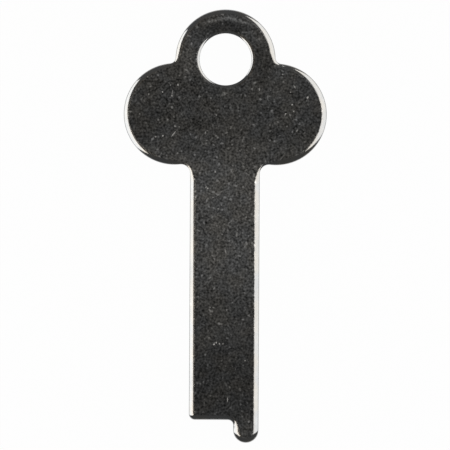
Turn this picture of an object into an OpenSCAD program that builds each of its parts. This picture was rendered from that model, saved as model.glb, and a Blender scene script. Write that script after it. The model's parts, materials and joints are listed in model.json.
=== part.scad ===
// Flat key blank, stamped from one piece of sheet steel.
// It lies on its back face: the bow points to +Y, the nib to -Y and the polished face to +Z.
// The origin is the middle of the outline's box, on the back face. All sizes are millimetres.

/* [Bow] */
// Width of the bow across both side lobes
bow_w = 25.4; // [23:0.1:28]
// Radius of the top lobe, which is concentric with the ring hole
top_lobe_r = 6.25; // [5:0.05:7.5]
// Radius of each side lobe
side_lobe_r = 6.35; // [5.5:0.05:7]
// How far the middle of a side lobe lies below the middle of the ring hole
side_lobe_drop = 6.85; // [6:0.05:8]
// Radius of the hollow between the top lobe and a side lobe
lobe_fillet_r = 0.75; // [0.4:0.05:1.5]
// Radius of the hollow between a side lobe and the blade
neck_fillet_r = 1.15; // [0.5:0.05:2]

/* [Ring hole] */
// Diameter of the ring hole
ring_hole_d = 6.5; // [4:0.1:8]
// Rounding of the hole's rim on the front face
front_rim_r = 0.35; // [0.1:0.05:0.5]
// Rounding of the hole's rim on the back face
back_rim_r = 0.2; // [0.1:0.05:0.4]

/* [Blade] */
// Width of the blade
blade_w = 8.7; // [7.5:0.1:10]
// Distance from the middle of the ring hole to the shoulder at the tip
hole_to_shoulder = 45.1; // [30:0.1:70]
// Corner radius where the shoulder meets the blade's plain edge
corner_r = 0.75; // [0.75:0.05:2]

/* [Nib] */
// Width of the nib, which ends in a full round
nib_w = 3.15; // [2:0.05:4]
// How far the nib reaches past the shoulder
nib_len = 2.85; // [2.7:0.05:6]
// Radius of the hollow between the shoulder and the nib
nib_fillet_r = 0.65; // [0.3:0.05:0.7]

/* [Sheet] */
// Thickness of the sheet
sheet_t = 1.6; // [1.2:0.1:3]
// Rounding of the outline's edge on the front face
front_edge_r = 0.65; // [0.2:0.05:0.7]
// Rounding of the outline's edge on the back face
back_edge_r = 0.35; // [0.1:0.05:0.45]

/* [Hidden] */
$fn = 96;

// How far a cutter runs past what it cuts
cut_past = 0.1;
// How far a hollow or a round end bites into its neighbours, so that their surfaces cross
bite = 0.005;
// How far a stretch starts back inside the one before it
lap = 1;

// Bright plated steel, as dark as it looks under soft light from both sides
steel_colour = [0.30, 0.30, 0.29];

// Places along the key, with the origin half way between the bow's top and the nib's end
hole_y = (hole_to_shoulder + nib_len - top_lobe_r) / 2;
shoulder_y = hole_y - hole_to_shoulder;
tip_y = shoulder_y - nib_len;

// Middles of the right-hand arcs of the bow. The left-hand ones mirror them
top_lobe = [0, hole_y];
side_lobe = [bow_w / 2 - side_lobe_r, hole_y - side_lobe_drop];
lobe_fillet_reach = lobe_fillet_r - bite;
lobe_fillet = meeting_point(
    top_lobe, top_lobe_r + lobe_fillet_reach, side_lobe, side_lobe_r + lobe_fillet_reach);
neck_fillet_reach = neck_fillet_r - bite;
neck_fillet_x = blade_w / 2 + neck_fillet_reach;
neck_fillet = [
    neck_fillet_x,
    side_lobe[1] - leg(side_lobe_r + neck_fillet_reach, neck_fillet_x - side_lobe[0])
];

// Middles of the arcs round the tip
corner = [corner_r - blade_w / 2, shoulder_y + corner_r];
nib_end_r = nib_w / 2;
nib_end = [blade_w / 2 - nib_end_r, tip_y + nib_end_r];
nib_fillet_reach = nib_fillet_r - bite;
nib_fillet = [blade_w / 2 - nib_w - nib_fillet_reach, shoulder_y - nib_fillet_reach];

// The other short side of a right triangle with this long side
function leg(long_side, short_side) = sqrt(long_side * long_side - short_side * short_side);

// The point left of the line from p to q that lies reach_p from p and reach_q from q
function meeting_point(p, reach_p, q, reach_q) =
    let(span = norm(q - p))
    let(along = (q - p) / span)
    let(left = [-along[1], along[0]])
    let(foot = (reach_p * reach_p - reach_q * reach_q + span * span) / (2 * span))
    p + foot * along + leg(reach_p, foot) * left;

// The same point on the other side of the key
function mirrored(p) = [-p[0], p[1]];

// Section of what a round of radius r leaves outside it in one quarter
module outside_round(r) {
    difference() {
        square(r + cut_past);
        circle(r);
    }
}

// Section of what is cut off the sheet's edge at x = reach
module edge_waste(reach) {
    translate([reach - front_edge_r, sheet_t - front_edge_r])
        outside_round(front_edge_r);
    translate([reach - back_edge_r, back_edge_r])
        mirror([0, 1])
            outside_round(back_edge_r);
}

// Section of what is cut away round an axis, with both rims rounded over
module hollow_section(r, front_r, back_r) {
    translate([0, -cut_past])
        square([r, sheet_t + 2 * cut_past]);
    translate([r + front_r, sheet_t - front_r])
        mirror([1, 0])
            outside_round(front_r);
    translate([r + back_r, back_r])
        mirror([1, 0])
            mirror([0, 1])
                outside_round(back_r);
}

// Disc of sheet with rounded edges
module disc(middle, r) {
    translate(middle)
        rotate_extrude()
            difference() {
                square([r, sheet_t]);
                edge_waste(r);
            }
}

// Bar of sheet that runs down from a point on its middle line, with both long edges rounded
module bar(top, length, width) {
    translate(top)
        rotate([90, 0, 0])
            linear_extrude(length)
                difference() {
                    translate([-width / 2, 0])
                        square([width, sheet_t]);
                    for (side = [0, 1])
                        mirror([side, 0])
                            edge_waste(width / 2);
                }
}

// Cutter for an inside corner or a hole
module hollow(middle, r, front_r, back_r) {
    translate(middle)
        rotate_extrude()
            hollow_section(r, front_r, back_r);
}

// Cutter for a hollow stretch of the outline
module outline_hollow(middle, r) {
    hollow(middle, r, front_edge_r, back_edge_r);
}

// Flat middle of the bow, with the four hollows of its outline
module bow_web() {
    right = [top_lobe, lobe_fillet, side_lobe, neck_fillet];
    left = [mirrored(neck_fillet), mirrored(side_lobe), mirrored(lobe_fillet)];
    difference() {
        linear_extrude(sheet_t)
            polygon(concat(right, left));
        for (side = [0, 1])
            mirror([side, 0, 0]) {
                outline_hollow(lobe_fillet, lobe_fillet_r);
                outline_hollow(neck_fillet, neck_fillet_r);
            }
    }
}

// Bow of three lobes round a flat middle
module bow() {
    bow_web();
    disc(top_lobe, top_lobe_r);
    disc(side_lobe, side_lobe_r);
    disc(mirrored(side_lobe), side_lobe_r);
}

// Plain blade from inside the bow down to where the tip's corner begins
module blade() {
    bar([0, side_lobe[1]], side_lobe[1] - corner[1], blade_w);
}

// Shoulder across the tip, with its rounded outer corner
module shoulder() {
    disc(corner - [bite, bite], corner_r);
    translate([corner[0], corner[1] + lap])
        rotate([90, 0, 90])
            mirror([1, 0, 0])
                linear_extrude(nib_end[0] - corner[0])
                    difference() {
                        square([corner_r + lap, sheet_t]);
                        edge_waste(corner_r + lap);
                    }
}

// Nib flush with one edge of the blade, with a full-round end and a hollow up to the shoulder
module nib() {
    bar([nib_end[0], corner[1] + lap], corner[1] + lap - nib_end[1], nib_w);
    disc(nib_end, nib_end_r + bite);
    difference() {
        translate(nib_fillet)
            linear_extrude(sheet_t)
                square([nib_end[0] - nib_fillet[0], corner[1] + lap - nib_fillet[1]]);
        outline_hollow(nib_fillet, nib_fillet_r);
    }
}

// The whole blank
module key_blank() {
    color(steel_colour)
        difference() {
            union() {
                bow();
                blade();
                shoulder();
                nib();
            }
            hollow(top_lobe, ring_hole_d / 2, front_rim_r, back_rim_r);
        }
}

key_blank();
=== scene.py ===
"""Studio scene of a flat key blank in bright plated steel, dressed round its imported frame.

The blank is swept round its outline the way a punch leaves it: a broad roll on the front
edge, a burnished and a torn band down the wall, and a tumbled edge on the back. It is shaped
in millimetres and brought to metres at the end.
"""

import json
import logging
import math
from dataclasses import dataclass, field
from enum import Enum
from functools import reduce
from typing import Any

import bmesh
import bpy
from mathutils import Matrix, Vector
from mathutils.kdtree import KDTree

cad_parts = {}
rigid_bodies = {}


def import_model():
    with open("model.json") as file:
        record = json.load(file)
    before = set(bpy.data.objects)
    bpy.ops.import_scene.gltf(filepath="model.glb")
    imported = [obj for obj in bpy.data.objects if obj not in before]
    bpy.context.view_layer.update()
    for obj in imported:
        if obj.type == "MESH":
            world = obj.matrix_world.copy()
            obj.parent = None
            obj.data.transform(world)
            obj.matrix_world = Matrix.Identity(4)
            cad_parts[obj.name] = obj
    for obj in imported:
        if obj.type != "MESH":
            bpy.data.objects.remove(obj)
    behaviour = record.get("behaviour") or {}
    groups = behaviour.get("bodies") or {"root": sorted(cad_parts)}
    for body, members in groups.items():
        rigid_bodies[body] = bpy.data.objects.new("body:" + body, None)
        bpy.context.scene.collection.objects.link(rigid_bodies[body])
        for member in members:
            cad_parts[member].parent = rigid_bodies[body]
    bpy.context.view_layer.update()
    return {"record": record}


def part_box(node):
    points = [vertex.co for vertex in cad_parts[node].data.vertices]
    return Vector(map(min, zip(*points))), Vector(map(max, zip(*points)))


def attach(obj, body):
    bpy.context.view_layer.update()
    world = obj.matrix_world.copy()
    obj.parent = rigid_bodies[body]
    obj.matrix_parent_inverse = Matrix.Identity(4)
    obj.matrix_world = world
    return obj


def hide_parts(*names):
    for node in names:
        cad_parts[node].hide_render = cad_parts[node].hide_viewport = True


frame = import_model()

MM = 0.001
MICRON = 1e-6
log = logging.getLogger("key_blank")

Colour = tuple[float, float, float, float]
WHITE: Colour = (1.0, 1.0, 1.0, 1.0)
# What a smooth random pattern is on average
MID_NOISE = 0.5


class Rim(Enum):
    """Which way a punched edge faces from the metal: out from the outline, or in to a hole."""

    OUTLINE = 1
    HOLE = -1


class Level(Enum):
    """The two flat faces of the sheet, with their heights as shares of its thickness."""

    FRONT = 1
    BACK = 0


class Side(Enum):
    """Which way along X a panel stands from the blank."""

    LEFT = -1
    RIGHT = 1


class Value:
    """A number in a node tree. Python expressions on it add Math nodes."""

    def __init__(self, pad: "NodePad", socket: bpy.types.NodeSocket) -> None:
        """Wraps an output socket.

        Args:
            pad: The tree that the socket is in.
            socket: The output that carries the number.
        """
        self.pad = pad
        self.socket = socket

    def __add__(self, other: "Number") -> "Value":
        """Sum."""
        return self.pad.math("ADD", self, other)

    def __sub__(self, other: "Number") -> "Value":
        """Difference."""
        return self.pad.math("SUBTRACT", self, other)

    def __rsub__(self, other: "Number") -> "Value":
        """Difference, with the plain number first."""
        return self.pad.math("SUBTRACT", other, self)

    def __mul__(self, other: "Number") -> "Value":
        """Product."""
        return self.pad.math("MULTIPLY", self, other)

    def __truediv__(self, other: "Number") -> "Value":
        """Quotient."""
        return self.pad.math("DIVIDE", self, other)

    def __rtruediv__(self, other: "Number") -> "Value":
        """Quotient, with the plain number first."""
        return self.pad.math("DIVIDE", other, self)

    def __pow__(self, power: "Number") -> "Value":
        """Power."""
        return self.pad.math("POWER", self, power)

    def __abs__(self) -> "Value":
        """Size without its sign."""
        return self.pad.math("ABSOLUTE", self)

    __radd__ = __add__
    __rmul__ = __mul__

    def up_to(self, limit: "Number") -> "Value":
        """The smaller of this and a limit."""
        return self.pad.math("MINIMUM", self, limit)

    def at_least(self, limit: "Number") -> "Value":
        """The larger of this and a limit."""
        return self.pad.math("MAXIMUM", self, limit)

    def rise(self, low: float, high: float) -> "Value":
        """A smooth step from 0 to 1.

        Args:
            low: Where the step begins. It may be above high, and then the step falls.
            high: Where the step ends.

        Returns:
            The step, from 0 to 1.
        """
        if low > high:
            return 1 - self.rise(high, low)
        made = self.pad.node(
            "ShaderNodeMapRange",
            {"interpolation_type": "SMOOTHSTEP"},
            {"Value": self, "From Min": low, "From Max": high},
        )
        return Value(self.pad, made.outputs["Result"])


Number = Value | float


class NodePad:
    """A node tree that a finish is written on."""

    def __init__(self, tree: bpy.types.NodeTree) -> None:
        """Empties a tree.

        Args:
            tree: The tree of a material or a world.
        """
        self.tree = tree
        tree.nodes.clear()

    def node(
        self, kind: str, settings: dict[str, Any] | None = None, inputs: dict[Any, Any] | None = None
    ) -> bpy.types.Node:
        """Adds a node.

        Args:
            kind: The node's type.
            settings: Its settings by name.
            inputs: Its sockets by name or number, each with a value, a Value or a socket to link.

        Returns:
            The node.
        """
        made = self.tree.nodes.new(kind)
        for name, setting in (settings or {}).items():
            setattr(made, name, setting)
        for name, given in (inputs or {}).items():
            socket = made.inputs[name]
            source = given.socket if isinstance(given, Value) else given
            if isinstance(source, bpy.types.NodeSocket):
                self.tree.links.new(source, socket)
            else:
                socket.default_value = source
        return made

    def math(self, operation: str, *numbers: Number) -> Value:
        """Adds a Math node.

        Args:
            operation: What it works out.
            numbers: What it works on.

        Returns:
            Its result.
        """
        made = self.node("ShaderNodeMath", {"operation": operation}, dict(enumerate(numbers)))
        return Value(self, made.outputs[0])

    def mix(self, share: Number, first: Any, second: Any) -> bpy.types.NodeSocket:
        """Mixes two colours.

        Args:
            share: How much of the second colour is in the mix, from 0 to 1.
            first: The colour at 0.
            second: The colour at 1.

        Returns:
            The socket that carries the mix.
        """
        made = self.node(
            "ShaderNodeMix", {"data_type": "RGBA"}, {"Factor": share, "A": first, "B": second}
        )
        return made.outputs["Result"]

    def scaled(self, colour: Any, amount: Number) -> bpy.types.NodeSocket:
        """Makes a colour lighter or darker.

        Args:
            colour: The colour or the socket that carries it.
            amount: What each of its channels is multiplied by.

        Returns:
            The socket that carries the result.
        """
        made = self.node(
            "ShaderNodeVectorMath", {"operation": "SCALE"}, {0: colour, "Scale": amount}
        )
        return made.outputs["Vector"]

    def stretched(self, vector: Any, by: tuple[float, float, float]) -> bpy.types.NodeSocket:
        """Multiplies a vector part by part.

        Args:
            vector: The socket that carries it.
            by: What its X, Y and Z are multiplied by.

        Returns:
            The socket that carries the result.
        """
        made = self.node("ShaderNodeVectorMath", {"operation": "MULTIPLY"}, {0: vector, 1: by})
        return made.outputs["Vector"]

    def place(self) -> bpy.types.NodeSocket:
        """The place on the piece in metres, from its own origin."""
        return self.node("ShaderNodeTexCoord").outputs["Object"]

    def split(self, vector: bpy.types.NodeSocket) -> tuple[Value, Value, Value]:
        """Takes a vector apart.

        Args:
            vector: The socket that carries it.

        Returns:
            Its X, Y and Z.
        """
        made = self.node("ShaderNodeSeparateXYZ", {}, {"Vector": vector})
        return tuple(Value(self, made.outputs[name]) for name in "XYZ")

    def noise(self, at: bpy.types.NodeSocket, pattern: "Pattern") -> Value:
        """Adds a smooth random pattern.

        Args:
            at: The socket that carries the place.
            pattern: Its size, detail and seed.

        Returns:
            The pattern, from 0 to 1 and mostly near its middle.
        """
        made = self.node(
            "ShaderNodeTexNoise",
            {"noise_dimensions": "4D"},
            {
                "Vector": at,
                "W": pattern.seed,
                "Scale": 1 / pattern.size,
                "Detail": pattern.detail,
            },
        )
        return Value(self, made.outputs["Fac"])

    def spot(self, at: bpy.types.NodeSocket, mark: "Mark", level: float) -> Value:
        """Adds one soft oval spot.

        Args:
            at: The socket that carries the place.
            mark: Its place, size and strength.
            level: Height of its middle.

        Returns:
            The spot, as strong as the mark in its middle and 0 outside it.
        """
        own = self.node(
            "ShaderNodeMapping",
            {"vector_type": "TEXTURE"},
            {
                "Vector": at,
                "Location": (mark.x, mark.y, level),
                "Rotation": (0, 0, math.radians(mark.turn)),
                "Scale": (mark.length / 2, mark.width / 2, mark.depth),
            },
        )
        return self.away(own.outputs["Vector"], Vector()).rise(1.0, mark.core) * mark.strength

    def away(self, at: bpy.types.NodeSocket, point: Vector) -> Value:
        """How far a place is from a point."""
        made = self.node("ShaderNodeVectorMath", {"operation": "DISTANCE"}, {0: at, 1: point})
        return Value(self, made.outputs["Value"])


@dataclass(frozen=True)
class Pattern:
    """One smooth random pattern of a finish."""

    # How far apart its lumps are, in millimetres
    size: float
    # How many finer layers it has
    detail: float
    # Which pattern of the kind it is
    seed: float


@dataclass(frozen=True)
class Mark:
    """A soft oval spot in a face: a nick or a scratch brightened as a painted glint, or a patch of
    painted reflection. Lengths are millimetres.
    """

    x: float
    y: float
    strength: float = 0.5
    length: float = 0.26
    width: float = 0.26
    # Degrees from +X
    turn: float = 0.0
    # How far it reaches into the sheet
    depth: float = 0.3
    # Share of its size that is at full strength
    core: float = 0.35


@dataclass(frozen=True)
class PlatedSteel:
    """Nickel plate over a tumbled steel sheet. Colours are linear, and lengths are millimetres."""

    thickness: float
    # Middle of the ring hole
    hole: Vector
    # Height above the back face at which the wall's burnished band gives way to the torn one
    burnish_to: float
    # The two colours that the plate drifts between, and the colour of a nick, a near white that is a
    # painted glint
    cool: Colour = (0.292, 0.296, 0.297, 1.0)
    warm: Colour = (0.312, 0.304, 0.286, 1.0)
    bright: Colour = (0.90, 0.89, 0.86, 1.0)
    # Roughness of the tumbled faces, of the burnished edges and of the torn part of the wall
    face_roughness: float = 0.29
    edge_roughness: float = 0.103
    torn_roughness: float = 0.45
    # How deep under a face its speckle begins to fade, and how deep it has gone
    fade_from: float = 0.01
    fade_to: float = 0.10
    # The fine speckle that tumbling leaves, and the brighter dots in it
    grain: Pattern = Pattern(0.275, 3.0, 0.0)
    dots: Pattern = Pattern(0.38, 0.0, 1.0)
    # How sharply the grain stands out
    grain_power: float = 2.2
    # Where in their pattern the dots begin to show and are full
    dots_from: float = 0.66
    dots_to: float = 0.84
    # Strength of the speckle between the dots, and how much a dot adds to it
    speckle_base: float = 0.85
    dot_lift: float = 1.6
    # Slow changes of the plate's tone, from large to small
    clouds: Pattern = Pattern(5.0, 2.0, 3.0)
    tints: Pattern = Pattern(2.4, 2.0, 7.0)
    blotches: Pattern = Pattern(1.1, 2.0, 5.0)
    # How strongly the clouds and the blotches change it
    cloud_depth: float = 0.5
    blotch_depth: float = 0.6
    # Where in their pattern the tints begin to warm and are warm
    warm_from: float = 0.35
    warm_to: float = 0.65
    # How much darker the speckle leaves the faces on the whole
    face_dark: float = 0.07
    # Tone of the smooth edges, and how much of the speckle and of the slow changes they show
    edge_tone: float = 0.96
    edge_speckle: float = 0.04
    edge_uneven: float = 0.25
    # How far the line between the burnished and the torn band wanders, and half its width
    torn_wander: float = 0.3
    torn_blend: float = 0.04
    # How much darker the torn band is
    torn_dark: float = 0.35
    # Upright streaks in the burnished band, and pits in the torn one
    streaks: Pattern = Pattern(0.07, 2.0, 9.0)
    pits: Pattern = Pattern(0.09, 2.0, 11.0)
    streak_stretch: tuple[float, float, float] = (1.0, 1.0, 0.08)
    # Heights of the grain, the streaks and the pits, in micrometres
    grain_height: float = 0.9
    streak_height: float = 0.6
    pit_height: float = 6.0
    # How much brighter all the nicks are than their own strengths, as painted glints, and how matt the
    # brightest is
    nick_glint_lift: float = 1.6
    nick_matt: float = 0.8
    # Radius and half width of a painted highlight arc over the hole
    highlight_arc_r: float = 5.10
    highlight_arc_w: float = 0.36
    highlight_arc_strength: float = 1.5
    # How far above the hole's middle the arc begins to show and is full
    highlight_arc_from: float = 4.1
    highlight_arc_to: float = 4.9
    # Painted reflection: lighter and darker patches of the front face that copy the room's reflection in
    # it
    reflection_patches: tuple[Mark, ...] = (
        Mark(0, 0.5, 0.50, 60, 25),
        Mark(0, -24.0, -0.30, 60, 28),
        Mark(-4.4, 20.8, 0.30, 4, 6),
        Mark(4.6, 20.2, -0.28, 4, 7),
        Mark(0, 24.6, -0.36, 8, 2.4),
        Mark(-11, 13, -0.15, 8, 9),
        Mark(2.9, -25.4, 0.40, 4, 4),
    )
    # Real nicks and scratches in the plate, made bright as painted glints
    nicks: tuple[Mark, ...] = (
        Mark(-6.63, 16.66, 0.35, 1.05, 0.18, -97),
        Mark(-6.68, 16.25, 0.6, 0.3, 0.22, -97),
        Mark(-6.44, 11.49, 0.5, 1.3, 0.22, 52),
        Mark(-7.79, 11.23, 0.8),
        Mark(-8.69, 11.12, 0.5),
        Mark(-7.85, 16.72, 0.6),
        Mark(-5.93, 17.63, 0.6, 0.4, 0.25, 90),
        Mark(-6.85, 17.59, 0.35),
        Mark(-9.57, 16.43, 0.35, 0.35, 0.25, 90),
        Mark(-6.27, 12.43, 0.5),
        Mark(-5.75, 12.36, 0.35),
        Mark(-2.45, 11.64, 0.45, 0.5, 0.2, 90),
        Mark(-1.11, 13.87, 0.4),
        Mark(4.25, 17.10, 0.4, 0.55, 0.25, 85),
        Mark(8.66, 17.44, 0.5, 0.7, 0.2, -55),
        Mark(8.15, 16.77, 0.4),
        Mark(10.29, 16.12, 0.8, 0.48, 0.24, 55),
        Mark(8.36, 15.21, 0.6),
        Mark(8.55, 14.39, 0.5),
        Mark(7.55, 14.06, 0.6),
        Mark(7.14, 18.99, 0.4),
        Mark(9.00, 11.98, 0.4, 0.6, 0.2, 48),
        Mark(-1.22, 6.76, 0.45, 0.3, 0.22, 90),
        Mark(-2.13, 4.70, 0.6),
        Mark(-2.35, 4.85, 0.45),
        Mark(-1.48, 3.56, 0.35),
        Mark(-0.81, 2.17, 0.35),
        Mark(-1.57, 1.18, 0.15, 0.9, 0.4, 90),
        Mark(1.50, -1.05, 0.25, 0.8, 0.35, 90),
        Mark(0.12, -3.14, 0.4, 0.75, 0.22, -68),
        Mark(3.18, -3.24, 0.3, 0.55, 0.15, 0),
        Mark(-1.76, -10.17, 0.35, 0.45, 0.15, 28),
        Mark(-1.36, -10.19, 0.35, 0.5, 0.15, -26),
        Mark(-1.26, -14.80, 1.0, 0.34, 0.24, 43),
        Mark(-0.97, -14.58, 0.8, 0.32, 0.2, -84),
        Mark(-0.58, -14.72, 0.6),
        Mark(-0.14, -14.72, 0.4),
        Mark(2.63, -16.81, 0.45),
        Mark(0.47, -21.71, 0.55, 0.9, 0.16, 90),
    )

    def build(self) -> bpy.types.Material:
        """Builds the material.

        Returns:
            The material, with its pattern on Object coordinates.
        """
        material = bpy.data.materials.new("plated_steel")
        material.use_nodes = True
        pad = NodePad(material.node_tree)
        at = pad.scaled(pad.place(), 1 / MM)
        z = pad.split(at)[2]
        front = z.rise(self.thickness - self.fade_to, self.thickness - self.fade_from)
        flat = front + z.rise(self.fade_to, self.fade_from)
        grain = pad.noise(at, self.grain)
        dots = pad.noise(at, self.dots).rise(self.dots_from, self.dots_to)
        speckle = (grain / MID_NOISE) ** self.grain_power * (self.speckle_base + dots * self.dot_lift)
        clouds = pad.noise(at, self.clouds) - MID_NOISE
        torn_line = self.burnish_to - clouds * self.torn_wander
        torn = (1 - flat) * (torn_line - z).rise(-self.torn_blend, self.torn_blend)
        streaks = pad.noise(pad.stretched(at, self.streak_stretch), self.streaks)
        pits = pad.noise(at, self.pits)
        blotches = pad.noise(at, self.blotches) - MID_NOISE
        uneven = clouds * self.cloud_depth + blotches * self.blotch_depth
        tumbled = speckle - self.face_dark + uneven
        polished = self.edge_tone + (speckle - 1) * self.edge_speckle + uneven * self.edge_uneven
        tone = polished + flat * (tumbled - polished)
        # Painted reflection and painted highlight, on the front face only
        painted_light = 1 + front * (self._painted_reflection(pad, at) + self._painted_highlight_arc(pad, at))
        nicks_and_glints = self._nicks_and_glints(pad, at)
        tint = pad.noise(at, self.tints).rise(self.warm_from, self.warm_to)
        # The plate's own tints and tone, times the painted reflection and highlight
        plate = pad.scaled(
            pad.mix(tint, self.cool, self.warm), tone * painted_light * (1 - torn * self.torn_dark)
        )
        height = (
            grain * flat * self.grain_height
            + streaks * (1 - flat) * (1 - torn) * self.streak_height
            + pits * torn * self.pit_height
        )
        bump = pad.node("ShaderNodeBump", {}, {"Strength": 1.0, "Distance": MICRON, "Height": height})
        shader = pad.node(
            "ShaderNodeBsdfPrincipled",
            {},
            {
                # Painted glints of the nicks over the plate
                "Base Color": pad.mix(nicks_and_glints, plate, self.bright),
                "Metallic": 1 - nicks_and_glints * self.nick_matt,
                "Roughness": (
                    self.edge_roughness
                    + flat * (self.face_roughness - self.edge_roughness)
                    + torn * (self.torn_roughness - self.edge_roughness)
                ),
                "Normal": bump.outputs["Normal"],
            },
        )
        pad.node("ShaderNodeOutputMaterial", {}, {"Surface": shader.outputs["BSDF"]})
        return material

    def _nicks_and_glints(self, pad: NodePad, at: bpy.types.NodeSocket) -> Value:
        """Marks the nicks, brightened as painted glints.

        Args:
            pad: The material's tree.
            at: The socket that carries the place in millimetres.

        Returns:
            How bright a nick's painted glint is there, and 0 where there is none.
        """
        spots = (pad.spot(at, nick, self.thickness) for nick in self.nicks)
        return (reduce(Value.at_least, spots) * self.nick_glint_lift).up_to(1.0)

    def _painted_reflection(self, pad: NodePad, at: bpy.types.NodeSocket) -> Value:
        """Paints the room's reflection as lighter and darker spots.

        Args:
            pad: The material's tree.
            at: The socket that carries the place in millimetres.

        Returns:
            How much lighter the painted reflection makes the plate there than elsewhere.
        """
        return reduce(Value.__add__, (pad.spot(at, patch, self.thickness) for patch in self.reflection_patches))

    def _painted_highlight_arc(self, pad: NodePad, at: bpy.types.NodeSocket) -> Value:
        """Paints a highlight arc over the hole.

        Args:
            pad: The material's tree.
            at: The socket that carries the place in millimetres.

        Returns:
            How much lighter the painted highlight makes the plate there than elsewhere.
        """
        off = abs(pad.away(at, self.hole + Vector((0, 0, self.thickness))) - self.highlight_arc_r)
        above = pad.split(at)[1] - self.hole.y
        return off.rise(self.highlight_arc_w, 0.0) * above.rise(self.highlight_arc_from, self.highlight_arc_to) * self.highlight_arc_strength


@dataclass(frozen=True)
class WhiteFloor:
    """Matt white board, lifted to paper white for the camera and in reflections."""

    colour: Colour = (0.90, 0.90, 0.90, 1.0)
    # Share of its white that is its own glow where the camera or a reflection sees it
    lift: float = 0.98

    def build(self) -> bpy.types.Material:
        """Builds the material.

        Returns:
            The material, which is see-through from below so that the blank's back can be seen.
        """
        material = bpy.data.materials.new("white_floor")
        material.use_nodes = True
        pad = NodePad(material.node_tree)
        rays = pad.node("ShaderNodeLightPath").outputs
        seen = (
            Value(pad, rays["Is Camera Ray"])
            + Value(pad, rays["Is Glossy Ray"])
            + Value(pad, rays["Is Transmission Ray"])
        )
        board = pad.node("ShaderNodeBsdfDiffuse", {}, {"Color": self.colour})
        glow = pad.node("ShaderNodeEmission", {}, {"Color": WHITE, "Strength": 1.0})
        lifted = pad.node(
            "ShaderNodeMixShader",
            {},
            {0: seen.up_to(1.0) * self.lift, 1: board.outputs[0], 2: glow.outputs[0]},
        )
        below = Value(pad, pad.node("ShaderNodeNewGeometry").outputs["Backfacing"])
        clear = pad.node("ShaderNodeBsdfTransparent")
        shader = pad.node(
            "ShaderNodeMixShader", {}, {0: below, 1: lifted.outputs[0], 2: clear.outputs[0]}
        )
        pad.node("ShaderNodeOutputMaterial", {}, {"Surface": shader.outputs[0]})
        return material


@dataclass(frozen=True)
class Roll:
    """One arc of a punched edge."""

    radius: float
    # Degrees that the surface has turned over from the front face where the arc ends
    to_tilt: float
    steps: int


@dataclass(frozen=True)
class EdgeSection:
    """Section of a punched edge, from the front face over the wall to the back face.

    Lengths are millimetres.
    """

    # Arcs that turn the front face over into the wall
    rolls: tuple[Roll, ...]
    # Height above the back face at which the burnished band gives way to the torn one
    burnish_to: float
    # How far the torn band leans back
    tear_in: float
    # Radius of the tumbled edge on the back face
    back_r: float
    # Width of the flat strip that is swept with the section on either face
    guard: float = 0.004
    back_steps: int = 8

    @property
    def reach(self) -> float:
        """Adds up how far the rolls reach in from the wall.

        Returns:
            How far in from the wall the first of them begins.
        """
        reach = 0.0
        leant = 0.0
        for roll in self.rolls:
            lean = math.sin(math.radians(roll.to_tilt))
            reach += roll.radius * (lean - leant)
            leant = lean
        return reach

    def draw(self, wall: Vector, thickness: float, rim: Rim) -> None:
        """Draws the section as a chain of edges that starts from the one selected point.

        Args:
            wall: The foot of the wall, on the back face's plane.
            thickness: The sheet's thickness.
            rim: Which way along Y the wall faces.
        """
        out = rim.value
        strip = Vector((0, out * self.guard, 0))
        start = wall + Vector((0, -out * self.reach, thickness))
        bpy.ops.transform.translate(value=start - strip)
        self._step(strip)
        at = start
        tilt = 0.0
        for roll in self.rolls:
            middle = at - self._lean(tilt, out) * roll.radius
            to_tilt = math.radians(roll.to_tilt)
            self._arc(middle, (to_tilt - tilt) * out, roll.steps)
            tilt = to_tilt
            at = middle + self._lean(tilt, out) * roll.radius
        self._step(Vector((0, 0, self.burnish_to - at.z)))
        self._step(Vector((0, -out * self.tear_in, self.back_r - self.burnish_to)))
        back_middle = wall + Vector((0, -out * (self.tear_in + self.back_r), self.back_r))
        self._arc(back_middle, math.pi / 2 * out, self.back_steps)
        self._step(-strip)

    @staticmethod
    def _lean(tilt: float, out: int) -> Vector:
        """The direction that a surface faces when it has turned over by a tilt in radians."""
        return Vector((0, out * math.sin(tilt), math.cos(tilt)))

    @staticmethod
    def _step(by: Vector) -> None:
        """Draws one straight edge on from the selected point."""
        bpy.ops.mesh.extrude_region_move(TRANSFORM_OT_translate={"value": by})

    @staticmethod
    def _arc(middle: Vector, turn: float, steps: int) -> None:
        """Draws an arc in the YZ plane on from the selected point."""
        bpy.ops.mesh.spin(steps=steps, angle=turn, center=middle, axis=(1, 0, 0))


@dataclass(frozen=True)
class Arc:
    """One round stretch of the outline."""

    radius: float
    # How far the heading turns, in radians, to the left if above 0
    turn: float
    # Size of the roll at the arc's middle, against the full one
    roll: float = 1.0


@dataclass(frozen=True)
class Ease:
    """A place on the outline where the roll is smaller or larger than elsewhere."""

    place: Vector
    # Size of the roll there against the full one
    size: float
    # How far from the place the roll keeps that size, and how far off it is full again
    near: float
    far: float

    def size_at(self, point: Vector) -> float:
        """Works out how large the roll is at a point.

        Args:
            point: A place on the outline.

        Returns:
            The roll's size there, against the full one.
        """
        share = ((point - self.place).length - self.near) / (self.far - self.near)
        share = min(max(share, 0.0), 1.0)
        return self.size + (1 - self.size) * share * share * (3 - 2 * share)


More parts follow.
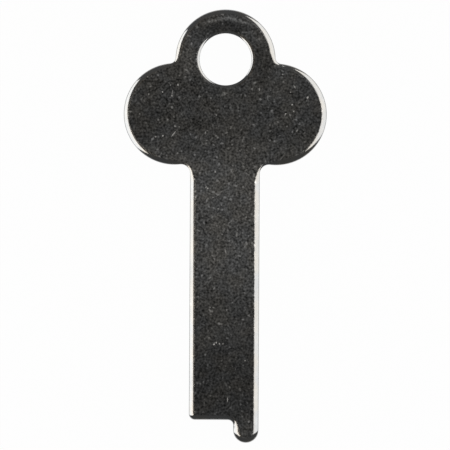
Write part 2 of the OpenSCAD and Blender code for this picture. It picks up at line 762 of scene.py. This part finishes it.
@dataclass
class Pen:
    """Carries the selected section along the outline, as a turtle walks.

    Lengths are millimetres and angles are radians, anticlockwise seen from the front.
    """

    at: Vector
    heading: float
    # The longest steps between two copies of the section, round an arc and straight on
    longest_turn: float = math.radians(3.0)
    longest_run: float = 0.25
    # Near and far of an arc's ease, in the arc's radii
    ease_near: float = 0.2
    ease_far: float = 1.65
    # Where each copy of the section stands, and where the roll eases
    track: list[Vector] = field(default_factory=list)
    eases: list[Ease] = field(default_factory=list)

    def run(self, length: float) -> None:
        """Goes straight on.

        Args:
            length: How far.
        """
        steps = math.ceil(length / self.longest_run)
        stride = Vector((math.cos(self.heading), math.sin(self.heading), 0)) * (length / steps)
        for _ in range(steps):
            bpy.ops.mesh.extrude_region_move(TRANSFORM_OT_translate={"value": stride})
            self.at = self.at + stride
            self.track.append(self.at)

    def bend(self, arc: Arc) -> None:
        """Goes round an arc, and eases the roll there as the arc says.

        Args:
            arc: The arc, which begins where the pen is.
        """
        side = math.copysign(arc.radius, arc.turn)
        to_middle = Vector((-math.sin(self.heading), math.cos(self.heading), 0)) * side
        middle = self.at + to_middle
        steps = math.ceil(abs(arc.turn) / self.longest_turn)
        bpy.ops.mesh.spin(steps=steps, angle=-arc.turn, center=middle, axis=(0, 0, 1))
        start = self.at
        for step in range(steps):
            turned = Matrix.Rotation(arc.turn * (step + 1) / steps, 3, "Z")
            self.track.append(middle - turned @ to_middle)
        self.heading += arc.turn
        self.at = self.track[-1]
        near = self.ease_near * arc.radius
        far = self.ease_far * arc.radius
        self.eases.append(Ease((start + self.at) / 2, arc.roll, near, far))


@dataclass
class Blank:
    """The whole key blank, one piece of sheet.

    Lengths are millimetres in the frame's own axes.
    """

    bow_w: float
    length: float
    thickness: float
    blade_w: float
    hole: Vector
    hole_r: float
    shoulder_y: float
    side_lobe_r: float = 6.35
    side_lobe_drop: float = 6.85
    lobe_fillet_r: float = 0.75
    neck_fillet_r: float = 1.15
    corner_r: float = 0.75
    nib_w: float = 3.15
    nib_fillet_r: float = 0.65
    # Size of the roll against the full one: in the hollows between the lobes, at the neck, in the
    # nib's hollow and where the nib's round end begins, and how far that last one reaches
    lobe_hollow_roll: float = 0.58
    neck_hollow_roll: float = 0.35
    nib_hollow_roll: float = 0.75
    nib_swell: float = 1.15
    nib_swell_near: float = 0.4
    nib_swell_far: float = 1.5
    # Pitch of the grid that the flat faces are cut into
    grid: float = 1.0
    # Points closer than this are one
    weld: float = 0.0005
    # Faces that meet flatter than this are one before the grid cuts them
    flat_angle: float = math.radians(1)
    # Sections of the outline's edge and of the hole's rim
    edge: EdgeSection = EdgeSection(
        rolls=(Roll(0.24, 26, 7), Roll(2.14, 45, 14), Roll(0.18, 90, 10)),
        burnish_to=0.72,
        tear_in=0.03,
        back_r=0.30,
    )
    rim: EdgeSection = EdgeSection(
        rolls=(Roll(0.17, 21.5, 6), Roll(1.16, 45, 14), Roll(0.05, 90, 6)),
        burnish_to=0.80,
        tear_in=0.02,
        back_r=0.18,
    )

    @classmethod
    def from_frame(cls) -> "Blank":
        """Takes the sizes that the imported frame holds.

        Returns:
            The blank at its real size.
        """
        low, high = (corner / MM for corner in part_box("key_blank"))
        mounts = {mount["name"]: mount for mount in frame["record"]["mounts"]}
        hole = mounts["ring_hole"]
        return cls(
            bow_w=high.x - low.x,
            length=high.y - low.y,
            thickness=high.z - low.z,
            blade_w=2 * mounts["nib_side_edge"]["pos_m"][0] / MM,
            hole=Vector((0, hole["pos_m"][1] / MM, 0)),
            hole_r=hole["dims"]["r_mm"],
            shoulder_y=mounts["tip_shoulder"]["pos_m"][1] / MM,
        )

    @property
    def top_y(self) -> float:
        """Top of the bow."""
        return self.length / 2

    @property
    def top_lobe_r(self) -> float:
        """Radius of the lobe round the hole."""
        return self.top_y - self.hole.y

    def build(self) -> bpy.types.Object:
        """Models the blank.

        Returns:
            The finished piece, in metres, with its place in its mesh.
        """
        bpy.ops.object.select_all(action="DESELECT")
        self._new_point()
        piece = bpy.context.object
        piece.name = piece.data.name = "blank"
        top = Vector((0, self.top_y, 0))
        self.edge.draw(top, self.thickness, Rim.OUTLINE)
        bpy.ops.mesh.select_all(action="SELECT")
        pen = Pen(top, math.pi)
        self._walk(pen)
        self._ease(piece, pen)
        bpy.ops.mesh.select_all(action="DESELECT")
        self._new_point()
        hole_top = self.hole + Vector((0, self.hole_r, 0))
        self.rim.draw(hole_top, self.thickness, Rim.HOLE)
        bpy.ops.mesh.select_linked()
        Pen(hole_top, math.pi).bend(Arc(self.hole_r, math.tau))
        bpy.ops.mesh.select_all(action="SELECT")
        bpy.ops.mesh.remove_doubles(threshold=self.weld)
        self._settle_order(piece)
        for level in Level:
            self._close_face(piece, level)
        bpy.ops.mesh.select_all(action="SELECT")
        bpy.ops.mesh.normals_make_consistent(inside=False)
        bpy.ops.object.mode_set(mode="OBJECT")
        bpy.ops.transform.resize(value=(MM, MM, MM), center_override=(0, 0, 0))
        bpy.ops.object.transform_apply(location=False, rotation=False, scale=True)
        bpy.ops.object.shade_smooth()
        return piece

    @staticmethod
    def _new_point() -> None:
        """Starts a chain: a small primitive at the origin, drawn together to one point."""
        bpy.ops.mesh.primitive_circle_add(vertices=4, radius=1, location=(0, 0, 0))
        if bpy.context.object.mode != "EDIT":
            bpy.ops.object.mode_set(mode="EDIT")
        bpy.ops.mesh.select_mode(type="VERT")
        bpy.ops.mesh.merge(type="CENTER")

    def _half_bow(self) -> tuple[list[Arc], float]:
        """Works out the left half of the bow's outline.

        Returns:
            Its arcs from the top of the bow to the blade, and how far up along Y the last one ends.
        """
        lobe = Vector((self.side_lobe_r - self.bow_w / 2, self.hole.y - self.side_lobe_drop, 0))
        top_reach = self.top_lobe_r + self.lobe_fillet_r
        lobe_reach = self.side_lobe_r + self.lobe_fillet_r
        across = lobe - self.hole
        along = (top_reach**2 - lobe_reach**2 + across.length**2) / (2 * across.length)
        aside = math.sqrt(top_reach**2 - along**2)
        unit = across.normalized()
        hollow = self.hole + unit * along + Vector((unit.y, -unit.x, 0)) * aside
        neck_x = -self.blade_w / 2 - self.neck_fillet_r
        neck_reach = self.side_lobe_r + self.neck_fillet_r
        neck_drop = math.sqrt(neck_reach**2 - (neck_x - lobe.x) ** 2)
        neck = Vector((neck_x, lobe.y - neck_drop, 0))
        leave_top = self._way(self.hole, hollow)
        leave_lobe = self._way(lobe, neck)
        meet_lobe = self._way(lobe, hollow)
        arcs = [
            Arc(self.top_lobe_r, leave_top - math.pi / 2),
            Arc(self.lobe_fillet_r, meet_lobe - leave_top % math.tau, self.lobe_hollow_roll),
            Arc(self.side_lobe_r, (leave_lobe - meet_lobe) % math.tau),
            Arc(self.neck_fillet_r, -((leave_lobe + math.pi) % math.tau), self.neck_hollow_roll),
        ]
        return arcs, neck.y

    def _walk(self, pen: Pen) -> None:
        """Walks the outline from the top of the bow, round by the left.

        Args:
            pen: Carries the section. It starts at the top and heads left.
        """
        half_bow, neck_y = self._half_bow()
        tip_y = -self.length / 2
        for arc in half_bow:
            pen.bend(arc)
        pen.run(neck_y - self.shoulder_y - self.corner_r)
        pen.bend(Arc(self.corner_r, math.pi / 2))
        pen.run(self.blade_w - self.corner_r - self.nib_w - self.nib_fillet_r)
        pen.bend(Arc(self.nib_fillet_r, -math.pi / 2, self.nib_hollow_roll))
        pen.run(self.shoulder_y - self.nib_fillet_r - tip_y - self.nib_w / 2)
        free_corner = pen.at + Vector((0, -self.nib_swell_near, 0))
        pen.eases.append(
            Ease(free_corner, self.nib_swell, self.nib_swell_near, self.nib_swell_far)
        )
        pen.bend(Arc(self.nib_w / 2, math.pi))
        pen.run(neck_y - tip_y - self.nib_w / 2)
        for arc in reversed(half_bow):
            pen.bend(arc)

    def _ease(self, piece: bpy.types.Object, pen: Pen) -> None:
        """Makes the roll smaller or larger where the pen has eased it.

        Args:
            piece: The blank, in edit mode.
            pen: The pen that has walked the outline.
        """
        stands = KDTree(len(pen.track))
        for index, stand in enumerate(pen.track):
            stands.insert(stand, index)
        stands.balance()
        shape = bmesh.from_edit_mesh(piece.data)
        for vertex in shape.verts:
            if vertex.co.z < self.edge.burnish_to + self.weld:
                continue
            stand = stands.find(Vector((vertex.co.x, vertex.co.y, 0)))[0]
            root = stand + Vector((0, 0, self.thickness))
            size = math.prod(ease.size_at(stand) for ease in pen.eases)
            vertex.co = root + (vertex.co - root) * size
        bmesh.update_edit_mesh(piece.data)

    @staticmethod
    def _way(start: Vector, end: Vector) -> float:
        """The direction from one point to another, in radians from +X."""
        return math.atan2(end.y - start.y, end.x - start.x)

    @staticmethod
    def _settle_order(piece: bpy.types.Object) -> None:
        """Makes every face anew in a fixed order, since spin and extrude leave another one each run.

        The cuts through the flat faces follow that order, and so they are the same in every run.

        Args:
            piece: The blank, in edit mode.
        """
        shape = bmesh.from_edit_mesh(piece.data)
        shape.verts.index_update()
        rings = []
        for face in shape.faces:
            ring = [vertex.index for vertex in face.verts]
            first = ring.index(min(ring))
            rings.append(ring[first:] + ring[:first])
        bmesh.ops.delete(shape, geom=shape.edges[:], context="EDGES_FACES")
        shape.verts.ensure_lookup_table()
        for ring in sorted(rings):
            shape.faces.new([shape.verts[index] for index in ring])
        bmesh.update_edit_mesh(piece.data)

    def _close_face(self, piece: bpy.types.Object, level: Level) -> None:
        """Fills one flat face between the outline and the hole, and cuts it into a grid.

        Args:
            piece: The blank, in edit mode.
            level: Which face.
        """
        bpy.ops.mesh.select_mode(type="EDGE")
        self._select_open_edges(piece, self.thickness * level.value)
        bpy.ops.mesh.fill(use_beauty=True)
        bpy.ops.mesh.dissolve_limited(angle_limit=self.flat_angle)
        bpy.ops.mesh.hide(unselected=True)
        for axis, size in ((0, self.bow_w), (1, self.length)):
            cuts = math.floor(size / self.grid)
            normal = Vector((1 - axis, axis, 0))
            for cut in range(cuts + 1):
                place = normal * ((cut - cuts / 2) * self.grid)
                bpy.ops.mesh.select_all(action="SELECT")
                bpy.ops.mesh.bisect(plane_co=place, plane_no=normal)
        bpy.ops.mesh.reveal(select=False)

    def _select_open_edges(self, piece: bpy.types.Object, z: float) -> None:
        """Selects the open edges that lie in a level plane, and nothing else.

        Args:
            piece: The blank, in edit mode.
            z: The plane's height.
        """
        bpy.ops.mesh.select_all(action="DESELECT")
        shape = bmesh.from_edit_mesh(piece.data)
        for edge in shape.edges:
            if edge.is_boundary and all(abs(v.co.z - z) < self.weld for v in edge.verts):
                edge.select_set(True)
        shape.select_flush_mode()
        bmesh.update_edit_mesh(piece.data)


@dataclass
class Panel:
    """A four-sided white panel that stands on the floor at one side of the blank.

    Lengths are millimetres, and heights are measured up the panel.
    """

    name: str
    side: Side
    # How far off its foot is, and the degrees that it leans in, or out if below 0
    distance: float
    lean: float
    # Where its foot begins and ends along Y
    foot: tuple[float, float]
    # Place along Y and height of its upper corner on the nib's side, and of the one on the bow's side
    tip_corner: tuple[float, float]
    bow_corner: tuple[float, float]
    radiance: float
    # Colour of its light at its top, and the share of its height below which that light is white
    top_colour: Colour
    white_to: float = 0.25

    def build(self) -> None:
        """Makes the panel as a glowing sheet that the camera doesn't see."""
        lean = math.radians(self.lean)
        out = self.side.value
        up = Vector((-out * math.sin(lean), 0, math.cos(lean)))
        foot = Vector((out * self.distance, 0, 0))
        low, high = self.foot
        places = ((low, 0), (high, 0), self.tip_corner, self.bow_corner)
        bpy.ops.object.select_all(action="DESELECT")
        bpy.ops.mesh.primitive_plane_add(size=1, location=(0, 0, 0))
        panel = bpy.context.object
        panel.name = self.name
        for vertex, (y, height) in zip(panel.data.vertices, places):
            vertex.co = (foot + Vector((0, y, 0)) + up * height) * MM
        panel.data.materials.append(self._glow())
        panel.visible_camera = False

    def _glow(self) -> bpy.types.Material:
        """Builds the panel's material.

        Returns:
            The material, a glow that is white at the panel's foot and takes its own colour higher up.
        """
        material = bpy.data.materials.new(self.name)
        material.use_nodes = True
        pad = NodePad(material.node_tree)
        height = pad.split(pad.place())[2] / MM
        top = max(self.tip_corner[1], self.bow_corner[1])
        colour = pad.mix(height.rise(top * self.white_to, top), WHITE, self.top_colour)
        glow = pad.node("ShaderNodeEmission", {}, {"Color": colour, "Strength": self.radiance})
        pad.node("ShaderNodeOutputMaterial", {}, {"Surface": glow.outputs[0]})
        return material


@dataclass
class Studio:
    """Floor, light and camera."""

    # Radius of the floor in metres, and how far it lies below the blank in millimetres
    floor_r: float = 1.4
    floor_sides: int = 96
    floor_drop: float = 0.02
    # How bright the room is overhead and all round, and how much brighter towards the bow
    overhead: float = 0.132
    around: float = 0.145
    to_bow: float = 0.018
    # Colour of the light high on the left. The rest of the room is white
    warm_light: Colour = (1.17, 1.0, 0.78, 1.0)
    # Where on X and on Z of the room's directions that light begins and is full
    warm_x: tuple[float, float] = (-0.1, -0.5)
    warm_z: tuple[float, float] = (0.45, 0.7)
    # Height of the camera over the front face, the width that it sees there, the place that it
    # looks at and the degrees that it is turned, all but the last in millimetres
    camera_up: float = 500.0
    view_w: float = 56.25
    centre_x: float = 0.040
    centre_y: float = 0.130
    roll: float = 0.302
    # The nearest and the farthest thing that the camera sees, in metres
    clip: tuple[float, float] = (0.05, 3.0)
    panels: tuple[Panel, ...] = (
        Panel(
            name="left_panel",
            side=Side.LEFT,
            distance=75.8,
            lean=-3.0,
            foot=(-44.0, 74.0),
            tip_corner=(-93.0, 57.0),
            bow_corner=(85.0, 19.5),
            radiance=3.2,
            top_colour=(1.10, 1.0, 0.88, 1.0),
        ),
        Panel(
            name="right_panel",
            side=Side.RIGHT,
            distance=133.0,
            lean=40.5,
            foot=(-33.5, 166.0),
            tip_corner=(-75.0, 79.5),
            bow_corner=(231.0, 66.0),
            radiance=2.65,
            top_colour=(1.04, 1.0, 0.95, 1.0),
        ),
    )

    def build(self, thickness: float) -> None:
        """Sets the stage.

        Args:
            thickness: The blank's thickness, because the camera is framed on its front face.
        """
        self._floor()
        self._world()
        for panel in self.panels:
            panel.build()
        self._camera(thickness)
        bpy.context.scene.view_settings.view_transform = "Standard"

    def _floor(self) -> None:
        """Lays the board just under the blank."""
        bpy.ops.object.select_all(action="DESELECT")
        bpy.ops.mesh.primitive_circle_add(
            vertices=self.floor_sides, radius=self.floor_r, fill_type="NGON", location=(0, 0, 0)
        )
        floor = bpy.context.object
        floor.name = "floor"
        bpy.ops.object.mode_set(mode="EDIT")
        bpy.ops.transform.translate(value=(0, 0, -self.floor_drop * MM))
        bpy.ops.object.mode_set(mode="OBJECT")
        floor.data.materials.append(WhiteFloor().build())

    def _world(self) -> None:
        """Makes the dim room, which the camera sees as white."""
        world = bpy.data.worlds.new("room")
        bpy.context.scene.world = world
        world.use_nodes = True
        pad = NodePad(world.node_tree)
        seen = Value(pad, pad.node("ShaderNodeLightPath").outputs["Is Camera Ray"])
        x, y, z = pad.split(pad.node("ShaderNodeTexCoord").outputs["Generated"])
        room = z.at_least(0.0) * (self.overhead - self.around) + self.around + y * self.to_bow
        strength = room + seen * (1 - room)
        warmth = x.rise(*self.warm_x) * z.rise(*self.warm_z)
        colour = pad.mix(warmth * (1 - seen), WHITE, self.warm_light)
        shader = pad.node("ShaderNodeBackground", {}, {"Color": colour, "Strength": strength})
        pad.node("ShaderNodeOutputWorld", {}, {"Surface": shader.outputs[0]})

    def _camera(self, thickness: float) -> None:
        """Hangs the camera straight above the blank.

        Args:
            thickness: The blank's thickness.
        """
        lens = bpy.data.cameras.new("camera")
        lens.lens = lens.sensor_width * self.camera_up / self.view_w
        lens.clip_start, lens.clip_end = self.clip
        camera = bpy.data.objects.new("camera", lens)
        bpy.context.scene.collection.objects.link(camera)
        place = Vector((self.centre_x, self.centre_y, thickness + self.camera_up)) * MM
        camera.location = place
        camera.rotation_euler = (0, 0, math.radians(self.roll))
        bpy.context.scene.camera = camera


def main() -> None:
    """Builds the blank and its studio."""
    logging.basicConfig(level=logging.INFO, format="%(name)s: %(message)s")
    blank = Blank.from_frame()
    piece = blank.build()
    finish = PlatedSteel(blank.thickness, blank.hole, blank.edge.burnish_to)
    piece.data.materials.append(finish.build())
    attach(piece, "root")
    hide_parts("key_blank")
    log.info("%s: %d faces", piece.name, len(piece.data.polygons))
    Studio().build(blank.thickness)


if __name__ == "__main__":
    main()
